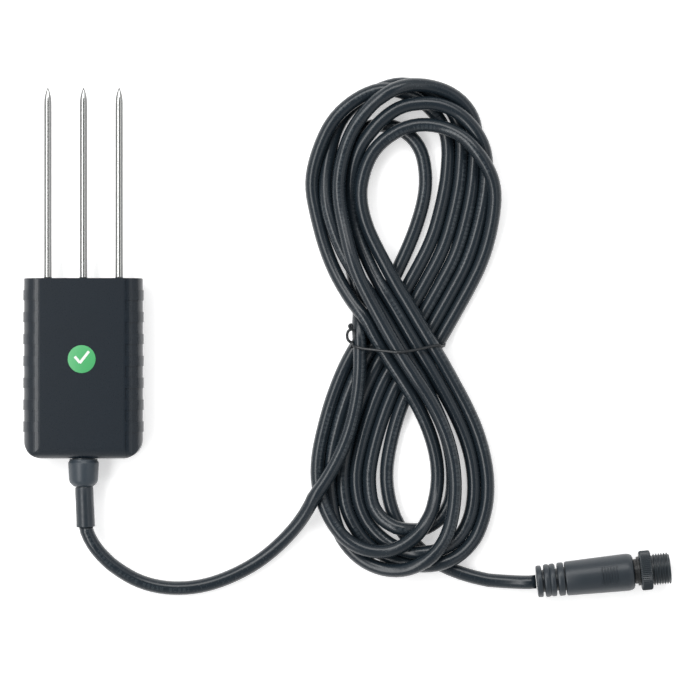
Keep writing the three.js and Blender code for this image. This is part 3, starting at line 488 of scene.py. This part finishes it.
def finish(name, colour, roughness, grain_mm, depth_mm, mottle=0.12, spread=0.06, **shader):
    """A surface with a fine grain, a little unevenness of colour and of gloss."""
    material = bpy.data.materials.new(name)
    material.use_nodes = True
    tree = material.node_tree
    tree.nodes.clear()
    base = linear(colour) if isinstance(colour, str) else tuple(colour) + (1.0,)
    where = add(tree, "TexCoord").outputs["Object"]
    grain = add(tree, "TexNoise", {"Vector": where, "Scale": 1 / (grain_mm * MM), "Detail": 3.0})
    cloud = add(tree, "TexNoise", {"Vector": where, "Scale": 1 / (14 * MM), "Detail": 4.0})
    dark = tuple(c * (1 - mottle) for c in base[:3]) + (1.0,)
    light = tuple(min(1.0, c * (1 + mottle)) for c in base[:3]) + (1.0,)
    tint = add(tree, "Mix", {"Factor": cloud.outputs["Fac"], 6: dark, 7: light}, data_type="RGBA")
    gloss = add(tree, "MapRange", {
        "Value": grain.outputs["Fac"], "From Min": 0.3, "From Max": 0.7,
        "To Min": max(0.02, roughness - spread), "To Max": min(1.0, roughness + spread)})
    bump = add(tree, "Bump", {
        "Height": grain.outputs["Fac"], "Distance": depth_mm * MM, "Strength": 1.0})
    surface = add(tree, "BsdfPrincipled", {
        "Base Color": tint.outputs[2], "Roughness": gloss.outputs["Result"],
        "Normal": bump.outputs["Normal"], **shader})
    add(tree, "OutputMaterial", {"Surface": surface.outputs["BSDF"]})
    return material


def node_of(material, kind):
    return next(n for n in material.node_tree.nodes if n.bl_idname == "ShaderNode" + kind)


def printed_jacket(colour):
    """PVC cable jacket, extruded: a satin gloss that draws thin bright lines along the
    cable, with a faint grey ink line of generic marks along it."""
    material = finish("extruded_pvc_jacket", colour, 0.25, 0.9, 0.003, spread=0.04, IOR=1.5)
    tree = material.node_tree
    surface = node_of(material, "BsdfPrincipled")
    tint = surface.inputs["Base Color"].links[0].from_socket
    place = add(tree, "SeparateXYZ", {0: add(tree, "UVMap", uv_map="length_girth").outputs[0]})
    along, round_it = place.outputs["X"], place.outputs["Y"]
    # Marks 1.1 mm long every 1.7 mm, in words of about 9 mm, in lines 50 mm long.
    mark = add(tree, "Math", {0: along, 1: 1.7 * MM}, operation="MODULO")
    mark = add(tree, "Math", {0: mark.outputs[0], 1: 1.1 * MM}, operation="LESS_THAN")
    word = add(tree, "Math", {0: along, 1: 10.6 * MM}, operation="MODULO")
    word = add(tree, "Math", {0: word.outputs[0], 1: 8.8 * MM}, operation="LESS_THAN")
    line = add(tree, "Math", {0: along, 1: 130 * MM}, operation="MODULO")
    line = add(tree, "Math", {0: line.outputs[0], 1: 50 * MM}, operation="LESS_THAN")
    # The ink line wanders slowly round the jacket, as the cable twists in its turns.
    twist = add(tree, "Math", {0: along, 1: 9.0}, operation="MULTIPLY")
    twist = add(tree, "Math", {0: twist.outputs[0]}, operation="SINE")
    twist = add(tree, "Math", {0: twist.outputs[0], 1: 0.09, 2: 0.5}, operation="MULTIPLY_ADD")
    centre = add(tree, "Math", {0: round_it, 1: 0.5}, operation="ADD")
    centre = add(tree, "Math", {0: centre.outputs[0], 1: 1.0}, operation="MODULO")
    off = add(tree, "Math", {0: centre.outputs[0], 1: twist.outputs[0]}, operation="SUBTRACT")
    off = add(tree, "Math", {0: off.outputs[0]}, operation="ABSOLUTE")
    band = add(tree, "Math", {0: off.outputs[0], 1: 0.045}, operation="LESS_THAN")
    worn = add(tree, "TexNoise", {
        "Vector": add(tree, "TexCoord").outputs["Object"], "Scale": 1 / (0.8 * MM)})
    worn = add(tree, "Math", {0: worn.outputs["Fac"], 1: 0.42}, operation="GREATER_THAN")
    ink = mark
    for more in (word, line, band, worn):
        ink = add(tree, "Math", {0: ink.outputs[0], 1: more.outputs[0]}, operation="MULTIPLY")
    faint = add(tree, "Math", {0: ink.outputs[0], 1: 0.08}, operation="MULTIPLY")
    mixed = add(tree, "Mix", {
        "Factor": faint.outputs[0], 6: tint, 7: linear("#8a949a")}, data_type="RGBA")
    tree.links.new(mixed.outputs[2], surface.inputs["Base Color"])
    return material


def brushed_pins():
    """Stainless steel rod, centreless ground: fine rings round it that blur the light, and painted
    shade that darkens its sides.
    """
    material = finish("ground_stainless_steel", "#c8c9c8", 0.20, 0.5, 0.0, mottle=0.04, spread=0.03,
                      Metallic=1.0)
    tree = material.node_tree
    rings = add(tree, "TexNoise", {
        "Vector": add(tree, "Mapping", {
            "Vector": add(tree, "TexCoord").outputs["Object"],
            "Scale": (20.0, 900.0, 20.0)}).outputs[0],
        "Scale": 1.0, "Detail": 2.0})
    bump = node_of(material, "Bump")
    bump.inputs["Distance"].default_value = 0.004 * MM
    tree.links.new(rings.outputs["Fac"], bump.inputs["Height"])
    # Painted shade: the colour darkens towards the edges seen at a slant, standing in for the dark
    # surroundings that the sides reflect.
    facing = add(tree, "LayerWeight", {"Blend": 0.5}).outputs["Facing"]
    painted_edge_shade = add(tree, "MapRange", {"Value": facing, "From Min": 0.05, "From Max": 0.6})
    surface = node_of(material, "BsdfPrincipled")
    tint = surface.inputs["Base Color"].links[0].from_socket
    shaded = add(tree, "Mix", {
        "Factor": painted_edge_shade.outputs["Result"], 6: tint, 7: linear("#4c4c4d")}, data_type="RGBA")
    tree.links.new(shaded.outputs[2], surface.inputs["Base Color"])
    return material


def woven_laminate():
    """Glass-epoxy board under green lacquer: a faint 0.5 mm weave shows through."""
    material = finish("glass_epoxy_laminate", "#1d5a38", 0.35, 0.5, 0.004, mottle=0.15)
    tree = material.node_tree
    where = add(tree, "TexCoord").outputs["Object"]
    warp = add(tree, "TexWave", {
        "Vector": where, "Scale": 1 / (0.5 * MM) / 20}, bands_direction="X")
    weft = add(tree, "TexWave", {
        "Vector": where, "Scale": 1 / (0.5 * MM) / 20}, bands_direction="Y")
    weave = add(tree, "Math", {0: warp.outputs["Fac"], 1: weft.outputs["Fac"]},
                operation="MULTIPLY")
    tree.links.new(weave.outputs[0], node_of(material, "Bump").inputs["Height"])
    return material


def make_materials():
    colours = bpy.context.scene.probe_colours
    made = {
        # Moulded ABS with a spark-eroded grain: a broad dull sheen, no mirror.
        "housing_plastic": finish(
            "moulded_abs", colours.housing, 0.32, 0.30, 0.004, spread=0.06, IOR=1.54),
        # Cast epoxy: black, level and nearly wet-looking, with a slow ripple.
        "potting_resin": finish("cast_epoxy", "#111315", 0.16, 3.0, 0.05, IOR=1.56),
        "pin_steel": brushed_pins(),
        # Tinned brass: soft white metal.
        "tinned_metal": finish("tinned_brass", "#b9bab6", 0.34, 0.4, 0.004, Metallic=1.0),
        # Coated glass bead round the thermistor: amber and glossy.
        "bead_glass": finish("bead_glass", "#7a3b18", 0.08, 0.6, 0.002, IOR=1.52),
        "board_laminate": woven_laminate(),
        # Transfer-moulded chip epoxy: matt black with a fine peel.
        "chip_epoxy": finish("chip_epoxy", "#17181a", 0.55, 0.12, 0.006, IOR=1.55),
        # Aluminium can, drawn: pale and softly bright.
        "capacitor_can": finish("drawn_aluminium", "#b8babc", 0.30, 0.5, 0.004, Metallic=1.0),
        # Sintered ferrite: dark grey, dry and granular.
        "ferrite": finish("sintered_ferrite", "#2c2b2c", 0.70, 0.15, 0.015, IOR=1.6),
        # PVC insulation: one even colour with a soft shine.
        "core_red": finish("pvc_red", "#a52720", 0.38, 0.6, 0.004, mottle=0.05, IOR=1.53),
        "core_black": finish("pvc_black", "#1b1c1e", 0.38, 0.6, 0.004, mottle=0.05, IOR=1.53),
        "core_yellow": finish("pvc_yellow", "#cfa61c", 0.38, 0.6, 0.004, mottle=0.05, IOR=1.53),
        "core_white": finish("pvc_white", "#deded9", 0.38, 0.6, 0.004, mottle=0.05, IOR=1.53),
        "cable_jacket": printed_jacket(colours.jacket),
        # Soft PVC, moulded: paler and duller than the housing.
        "boot_rubber": finish("moulded_soft_pvc", "#333c44", 0.40, 0.25, 0.006, IOR=1.5),
        # Heat-shrunk polyolefin: waxy, with the ripple of the shrinking.
        "sleeve_polyolefin": finish(
            "shrunk_polyolefin", "#262e35", 0.34, 2.2, 0.04, IOR=1.51),
        # Vinyl label film: smooth, even, a little glossy.
        "label_film": finish("vinyl_film", colours.label, 0.40, 0.4, 0.002, mottle=0.06),
        # Vinyl-coated wire: smooth and black, with a thin soft highlight.
        "tie_coating": finish("vinyl_coating", "#1a1f23", 0.35, 0.5, 0.006, IOR=1.53),
        # Moulded TPU, finely textured: a soft grey-black with a broad dull sheen.
        "connector_grip": finish(
            "moulded_tpu", colours.connector, 0.40, 0.22, 0.010, spread=0.07, IOR=1.53),
        # Moulded nylon: nearly black and matt.
        "insert_plastic": finish("moulded_nylon", "#1a1c1e", 0.48, 0.2, 0.008, IOR=1.53),
        # Gold flash over nickel on the contacts.
        "contact_gold": finish("gold_flash", "#d9b060", 0.22, 0.4, 0.002, Metallic=1.0),
        # Glass-filled nylon: the fibres leave it slightly rough, so it shines dully.
        "screw_plastic": finish(
            "glass_filled_nylon", "#2c3338", 0.38, 0.22, 0.008, spread=0.07, IOR=1.53),
    }
    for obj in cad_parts.values():
        for slot in obj.material_slots:
            slot.material = made[slot.material.name]
    return made


MADE = {}
PIECES = {}


# ---- Operators -------------------------------------------------------------------

class PROBE_OT_materials(bpy.types.Operator):
    """Makes the materials and gives them to the CAD pieces"""

    bl_idname = "probe.materials"
    bl_label = "Materials"

    def execute(self, context):
        MADE.update(make_materials())
        return {"FINISHED"}


class PROBE_OT_camera(bpy.types.Operator):
    """Sets the camera straight above the table"""

    bl_idname = "probe.camera"
    bl_label = "Camera"

    def execute(self, context):
        height = context.scene.probe_sizes.camera_height
        data = bpy.data.cameras.new("camera")
        data.sensor_width = 36
        seen = 263.2 * MM  # across the picture, at the middle of the housing's height
        data.lens = data.sensor_width * (height - MID_HEIGHT * MM) / seen
        camera = bpy.data.objects.new("camera", data)
        camera.location = (100.2 * MM, -16.2 * MM, height)
        context.scene.collection.objects.link(camera)
        context.scene.camera = camera
        return {"FINISHED"}


class PROBE_OT_cable(bpy.types.Operator):
    """Lays the cable in its hank and lets it settle"""

    bl_idname = "probe.cable"
    bl_label = "Cable"

    def execute(self, context):
        diameter = context.scene.probe_sizes.cable_diameter
        width = diameter / MM
        step = width / 2
        route = drawn_through(laid_route(), step)
        points = settled(route, width, step) * MM
        cable = tube("signal_cable", points, diameter / 2, sides=16)
        give(cable, MADE["cable_jacket"],
             stands_for=("cable_lead", "cable_hank", "cable_tail"))
        length = float(np.linalg.norm(np.diff(points, axis=0), axis=1).sum())
        PIECES["cable"] = (cable, points, length, diameter)
        return {"FINISHED"}


class PROBE_OT_housing(bpy.types.Operator):
    """Finishes the housing and the resin in its mouth"""

    bl_idname = "probe.housing"
    bl_label = "Housing"

    def execute(self, context):
        sizes = context.scene.probe_sizes
        shell = cad_copy("housing_shell", "housing")
        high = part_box("housing_shell")[1]
        side, end = high[0] / MM, high[1] / MM

        def on_outer_rim(point):
            x, y, z = point / MM
            above = abs(z - MID_HEIGHT)
            past_edge = math.hypot(max(0, abs(x) - PANEL_HALF), max(0, above - SIDE_HALF_FLAT))
            outside = abs(x) > side - 0.5 or above > 6.2 or past_edge > WALL_MIDDLE
            return outside and y > end - 0.01

        pick(shell)
        for edge in shell.data.edges:
            edge.select = all(on_outer_rim(shell.data.vertices[i].co) for i in edge.vertices)
        bpy.ops.object.mode_set(mode="EDIT")
        bpy.ops.mesh.select_mode(type="EDGE")
        bpy.ops.mesh.bevel(offset=RIM_BEVEL * MM, segments=4, clamp_overlap=True)
        bpy.ops.object.mode_set(mode="OBJECT")
        soften(shell, sizes.edge_radius, 2, 28)
        shade(shell, 50)
        steady(shell)
        give(shell, MADE["housing_plastic"], stands_for=("housing_shell",))
        resin = cad_copy("potting_resin", "resin")
        shade(resin, 40)
        give(resin, MADE["potting_resin"], stands_for=("potting_resin",))
        return {"FINISHED"}


class PROBE_OT_pins(bpy.types.Operator):
    """Finishes the three pins, each with a collar of resin at its foot"""

    bl_idname = "probe.pins"
    bl_label = "Pins"

    def execute(self, context):
        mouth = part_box("potting_resin")[1][1]
        for side in ("left", "middle", "right"):
            node = "probe_pin_" + side
            pin = cad_copy(node, "pin_" + side)
            shade(pin, 40)
            give(pin, MADE["pin_steel"], stands_for=(node,))
            low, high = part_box(node)
            x = (low[0] + high[0]) / 2
            collar = turned("resin_collar_" + side, [
                (1.42, -0.2), (2.5, -0.2), (2.5, 0.02), (2.05, 0.08), (1.75, 0.25),
                (1.55, 0.55), (1.46, 0.8), (1.42, 0.8), (1.42, -0.2)], 32)
            upright = Matrix.Rotation(-math.pi / 2, 4, "X")
            upright.translation = (x, mouth, (low[2] + high[2]) / 2)
            settle_transform(collar, upright)
            close_up(collar)
            shade(collar, 40)
            give(collar, MADE["potting_resin"])
        return {"FINISHED"}


class PROBE_OT_cable_exit(bpy.types.Operator):
    """Finishes the boot and the shrunk sleeve where the cable leaves"""

    bl_idname = "probe.cable_exit"
    bl_label = "Boot and Sleeve"

    def execute(self, context):
        boot = cad_copy("cable_boot", "boot")
        shade(boot, 32)
        give(boot, MADE["boot_rubber"], stands_for=("cable_boot",))
        low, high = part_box("heat_shrink_sleeve")
        length = (high[1] - low[1]) / MM
        outer, inner = (high[0] - low[0]) / 2 / MM, 2.9
        sleeve = turned("sleeve", [
            (inner, -0.5), (outer - 0.3, -0.5), (outer - 0.12, 0), (outer - 0.06, 2.0),
            (outer - 0.1, 5.0), (outer - 0.04, 8.5), (outer - 0.06, 11.5),
            (outer, length - 0.5), (outer, length - 0.2), (outer - 0.12, length),
            (inner, length), (inner, -0.5)], 48)
        # It leans with the cable, by as much as a soft sleeve gives.
        along = Matrix.Rotation(math.radians(2.4), 4, "Z") @ Matrix.Rotation(math.pi / 2, 4, "X")
        along.translation = (0.25 * MM, high[1], (low[2] + high[2]) / 2)
        settle_transform(sleeve, along)
        close_up(sleeve)
        shade(sleeve, 40)
        give(sleeve, MADE["sleeve_polyolefin"],
             stands_for=("heat_shrink_sleeve",))
        return {"FINISHED"}


class PROBE_OT_label(bpy.types.Operator):
    """Makes the round green label and its white tick"""

    bl_idname = "probe.label"
    bl_label = "Label"

    def execute(self, context):
        low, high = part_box("quality_label")
        middle = [(a + b) / 2 for a, b in zip(low, high)]
        clear()
        bpy.ops.mesh.primitive_cylinder_add(
            vertices=64, radius=(high[0] - low[0]) / 2, depth=high[2] - low[2], location=middle)
        disc = take("label")
        settle_transform(disc)
        soften(disc, 0.05 * MM, 2, 40)
        shade(disc, 35)
        give(disc, MADE["label_film"], stands_for=("quality_label",))
        strokes = [((-1.6, -0.2), 3.0, -50), ((1.0, 0.7), 5.6, 52)]
        made = []
        for lift, ((x, y), length, lean) in enumerate(strokes, 1):
            clear()
            bpy.ops.mesh.primitive_cube_add(size=1, location=(
                middle[0] + x * MM, middle[1] + y * MM, high[2] + 0.008 * lift * MM))
            stroke = bpy.context.object
            stroke.scale = (length * MM, 1.0 * MM, 0.03 * MM)
            stroke.rotation_euler = (0, 0, math.radians(lean))
            bpy.ops.object.transform_apply(location=True, rotation=True, scale=True)
            made.append(stroke)
        clear()
        for stroke in made:
            stroke.select_set(True)
        bpy.context.view_layer.objects.active = made[0]
        bpy.ops.object.join()
        tick = take("label_tick")
        ink = finish("white_ink", "#e9ece8", 0.45, 0.3, 0.002, mottle=0.03)
        give(tick, ink)
        return {"FINISHED"}


class PROBE_OT_tie(bpy.types.Operator):
    """Bends the coated wire round the waist of the hank, with its twisted eye"""

    bl_idname = "probe.tie"
    bl_label = "Wire Tie"

    def execute(self, context):
        wire = context.scene.probe_sizes.tie_diameter / MM
        points = PIECES["cable"][1] / MM
        width = PIECES["cable"][3] / MM
        plan = drawn_through(np.array([(x, y, 0.0) for x, y in TIE_TOP]), 0.6)
        clear_by = (width + wire) / 2
        ridge = []
        for x, y, _ in plan:
            near = np.hypot(points[:, 0] - x, points[:, 1] - y)
            over = near < clear_by
            ridge.append(max((points[over, 2] + np.sqrt(clear_by ** 2 - near[over] ** 2)).tolist()
                             + [wire]))
        # Pulled tight, the wire runs straight from one ridge to the next.
        held = []
        for mark in enumerate(ridge):
            while len(held) > 1 and ((held[-1][1] - held[-2][1]) * (mark[0] - held[-2][0])
                                     <= (mark[1] - held[-2][1]) * (held[-1][0] - held[-2][0])):
                held.pop()
            held.append(mark)
        plan[:, 2] = np.interp(range(len(plan)), *zip(*held))
        top = plan.tolist()
        peak = top[-1][2]
        route = top + [(100.9, -13.6, peak - 0.6)] + TIE_EYE + TIE_UNDER
        tie = tube("wire_tie_bent", drawn_through(np.array(route), 0.5) * MM,
                   wire / 2 * MM, sides=10)
        give(tie, MADE["tie_coating"], stands_for=("wire_tie",))
        PIECES["tie"] = tie
        return {"FINISHED"}


class PROBE_OT_connector(bpy.types.Operator):
    """Turns the connector's ringed strain relief, grip and coupling screw"""

    bl_idname = "probe.connector"
    bl_label = "Connector"

    def execute(self, context):
        matrix = connector_matrix()
        grip = turned("connector_body", GRIP_OUTLINE, 72)
        settle_transform(grip, matrix)
        shade(grip, 32)
        give(grip, MADE["connector_grip"], stands_for=("connector_grip",))
        bars = []
        for i in range(BAR_COUNT):
            start = BAR_START + BAR_PITCH * i
            bar = turned("grip_bar", [
                (6.4, start), (7.0, start), (7.2, start + 0.12), (7.2, start + 0.4),
                (7.0, start + 0.52), (6.4, start + 0.52), (6.4, start)], 72)
            pick(bar)
            bpy.ops.object.mode_set(mode="EDIT")
            for side in (-1, 1):
                bpy.ops.mesh.select_all(action="SELECT")
                bpy.ops.mesh.bisect(
                    plane_co=(0, 0, 0), clear_outer=True, use_fill=True,
                    plane_no=(side * math.sin(BAR_LEAN), -math.cos(BAR_LEAN), 0))
            bpy.ops.object.mode_set(mode="OBJECT")
            bars.append(bar)
        clear()
        for bar in bars:
            bar.select_set(True)
        bpy.context.view_layer.objects.active = bars[0]
        bpy.ops.object.join()
        patch = take("grip_bars")
        settle_transform(patch, matrix)
        close_up(patch)
        shade(patch, 32)
        give(patch, MADE["connector_grip"])

        screw = turned("screw_body", SCREW_OUTLINE, KNURL_SIDES)
        pick(screw)
        bpy.ops.object.mode_set(mode="EDIT")
        bpy.ops.mesh.select_all(action="DESELECT")
        bpy.ops.object.mode_set(mode="OBJECT")
        for vertex in screw.data.vertices:
            radius = math.hypot(vertex.co.x, vertex.co.y) / MM
            column = round(math.atan2(vertex.co.y, vertex.co.x) / math.tau * KNURL_SIDES)
            vertex.select = radius > 6.6 and column % 2 == 1
        bpy.ops.object.mode_set(mode="EDIT")
        deep = 1 - context.scene.probe_sizes.knurl_depth / (KNURL_RADIUS * MM)
        bpy.ops.transform.resize(value=(deep, deep, 1), center_override=(0, 0, 0))
        bpy.ops.object.mode_set(mode="OBJECT")
        clear()
        bpy.ops.mesh.primitive_plane_add(size=1, location=(0, 0, 0))
        thread = take("screw_thread")
        bpy.ops.object.mode_set(mode="EDIT")
        bpy.ops.mesh.select_all(action="SELECT")
        bpy.ops.transform.rotate(value=math.pi / 2, orient_axis="X", center_override=(0, 0, 0))
        bpy.ops.transform.resize(value=(0.75 * MM, 1, 0.8 * MM), center_override=(0, 0, 0))
        bpy.ops.transform.translate(value=(THREAD_MIDDLE * MM, 0, THREAD_START * MM))
        bpy.ops.mesh.select_all(action="DESELECT")
        bpy.ops.object.mode_set(mode="OBJECT")
        for vertex in thread.data.vertices:
            vertex.select = vertex.co.x > 5.6 * MM
        bpy.ops.object.mode_set(mode="EDIT")
        bpy.ops.transform.resize(value=(1, 1, 0.25), center_override=(0, 0, THREAD_START * MM))
        bpy.ops.object.mode_set(mode="OBJECT")
        wind = thread.modifiers.new("wind", "SCREW")
        wind.axis = "Z"
        wind.angle = math.tau * THREAD_TURNS
        wind.screw_offset = THREAD_RISE * MM
        wind.steps = wind.render_steps = THREAD_TURNS * THREAD_STEPS
        wind.use_merge_vertices = False
        bpy.ops.object.modifier_apply(modifier=wind.name)
        clear()
        screw.select_set(True)
        thread.select_set(True)
        bpy.context.view_layer.objects.active = screw
        bpy.ops.object.join()
        screw.name = "screw"
        settle_transform(screw, matrix)
        close_up(screw, 0.002)
        shade(screw, 25)
        give(screw, MADE["screw_plastic"], SCREW_BODY,
             stands_for=("coupling_screw",))
        PIECES["connector"] = [grip, patch, screw] + [
            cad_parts[n] for n in (
                "connector_cable_end", "contact_carrier", "contact_pin_1", "contact_pin_2",
                "contact_pin_3", "contact_pin_4", "connector_core_red", "connector_core_black",
                "connector_core_yellow", "connector_core_white")]
        return {"FINISHED"}


class PROBE_OT_cord(bpy.types.Operator):
    """An empty step: it does nothing to the scene."""

    bl_idname = "probe.cord"
    bl_label = "Cord Facts"

    def execute(self, context):
        return {"FINISHED"}


class PROBE_OT_stage(bpy.types.Operator):
    """Sets out the pale table, the soft lights and the bright surroundings"""

    bl_idname = "probe.stage"
    bl_label = "Stage"

    def execute(self, context):
        clear()
        bpy.ops.mesh.primitive_plane_add(size=8, location=(0.1, 0, -0.0002))
        floor = take("table")
        material = finish(
            "backlit_white_acrylic", "#f4f4f4", 0.9, 2.0, 0.01, mottle=0.01,
            **{"Emission Color": (1, 1, 1, 1), "Emission Strength": 0.45})
        floor.data.materials.append(material)
        # A long softbox along the left, a wide one behind the pins, a dim strip on the right.
        for name, (place, width, height, power) in SOFTBOXES.items():
            data = bpy.data.lights.new(name, "AREA")
            data.shape = "RECTANGLE"
            data.size = width
            data.size_y = height
            data.energy = power
            light = bpy.data.objects.new(name, data)
            light.location = place
            light.rotation_euler = (TABLE_CENTRE - Vector(place)).to_track_quat("-Z", "Y").to_euler()
            context.scene.collection.objects.link(light)
        world = bpy.data.worlds.new("surroundings")
        world.use_nodes = True
        # Bright walls under a dim ceiling: flat tops stay dark, round sides catch the walls.
        tree = world.node_tree
        way = add(tree, "SeparateXYZ", {0: add(tree, "TexCoord").outputs["Generated"]})
        glow = add(tree, "MapRange", {
            "Value": way.outputs["Z"], "From Min": 0.5, "From Max": 0.95,
            "To Min": 0.62, "To Max": 0.14}, interpolation_type="SMOOTHSTEP")
        tree.links.new(glow.outputs["Result"], tree.nodes["Background"].inputs["Strength"])
        tree.nodes["Background"].inputs["Color"].default_value = (1, 1, 1, 1)
        context.scene.world = world
        context.scene.view_settings.view_transform = "Standard"
        return {"FINISHED"}


OPERATORS = (
    PROBE_OT_camera, PROBE_OT_materials, PROBE_OT_cable, PROBE_OT_housing, PROBE_OT_pins,
    PROBE_OT_cable_exit, PROBE_OT_label, PROBE_OT_tie, PROBE_OT_connector, PROBE_OT_cord,
    PROBE_OT_stage,
)


class PROBE_PT_panel(bpy.types.Panel):
    """The probe's sizes, colours and pieces"""

    bl_label = "Soil Probe"
    bl_idname = "PROBE_PT_panel"
    bl_space_type = "VIEW_3D"
    bl_region_type = "UI"
    bl_category = "Soil Probe"

    def draw(self, context):
        for group in (context.scene.probe_sizes, context.scene.probe_colours):
            for key in group.__annotations__:
                self.layout.prop(group, key)
        for operator in OPERATORS:
            self.layout.operator(operator.bl_idname)


CLASSES = (ProbeSizes, ProbeColours) + OPERATORS + (PROBE_PT_panel,)


def register():
    for cls in CLASSES:
        bpy.utils.register_class(cls)
    bpy.types.Scene.probe_sizes = bpy.props.PointerProperty(type=ProbeSizes)
    bpy.types.Scene.probe_colours = bpy.props.PointerProperty(type=ProbeColours)


def unregister():
    del bpy.types.Scene.probe_colours
    del bpy.types.Scene.probe_sizes
    for cls in reversed(CLASSES):
        bpy.utils.unregister_class(cls)


def main():
    register()
    for operator in OPERATORS:
        group, name = operator.bl_idname.split(".")
        getattr(getattr(bpy.ops, group), name)()
    clear()


if __name__ == "__main__":
    main()
